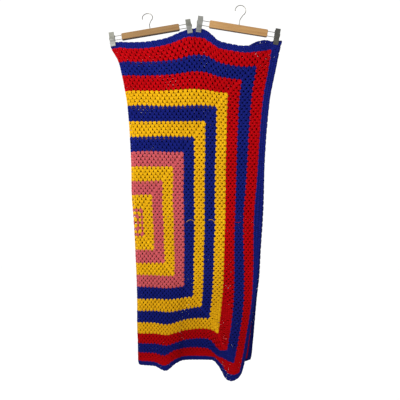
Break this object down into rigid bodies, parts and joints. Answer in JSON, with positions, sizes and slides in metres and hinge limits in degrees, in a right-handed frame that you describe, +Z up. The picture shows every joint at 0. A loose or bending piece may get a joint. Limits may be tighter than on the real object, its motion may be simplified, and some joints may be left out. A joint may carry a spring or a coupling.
{
  "type": "crochet afghan blanket on two clip hangers",
  "caption": "Square crochet afghan worked in coloured bands round its centre, folded in half down its middle and hung by its top edge from two wooden clip hangers.",
  "frame": {"origin": "midway between the two hangers' hooks, at the height where they rest on what holds them, in the plane of the clips' jaws", "axes": "+Z up, +X to the right of someone facing the front, so the front faces -Y; the fold is on the -X side"},
  "size_m": [0.7411, 0.1212, 1.5764],
  "materials": {
    "yarn_red": "matt acrylic yarn, crocheted, red",
    "yarn_blue": "matt acrylic yarn, crocheted, royal blue",
    "yarn_yellow": "matt acrylic yarn, crocheted, golden yellow",
    "yarn_pink": "matt acrylic yarn, crocheted, rose pink",
    "wood": "clear-varnished light wood",
    "wire": "bright plated wire",
    "clip_steel": "dull plated sheet steel"
  },
  "bodies": {
    "root": {"afghan": "yarn_red", "left_hanger_bar": "wood", "left_hanger_hook": "wire", "left_hanger_left_rail": "wire", "left_hanger_left_clip_back_plate": "clip_steel", "left_hanger_left_clip_front_plate": "clip_steel", "left_hanger_left_clip_spring": "wire", "left_hanger_right_rail": "wire", "left_hanger_right_clip_back_plate": "clip_steel", "left_hanger_right_clip_front_plate": "clip_steel", "left_hanger_right_clip_spring": "wire", "right_hanger_bar": "wood", "right_hanger_hook": "wire", "right_hanger_left_rail": "wire", "right_hanger_left_clip_back_plate": "clip_steel", "right_hanger_left_clip_front_plate": "clip_steel", "right_hanger_left_clip_spring": "wire", "right_hanger_right_rail": "wire", "right_hanger_right_clip_back_plate": "clip_steel", "right_hanger_right_clip_front_plate": "clip_steel", "right_hanger_right_clip_spring": "wire"}
  },
  "joints": []
}
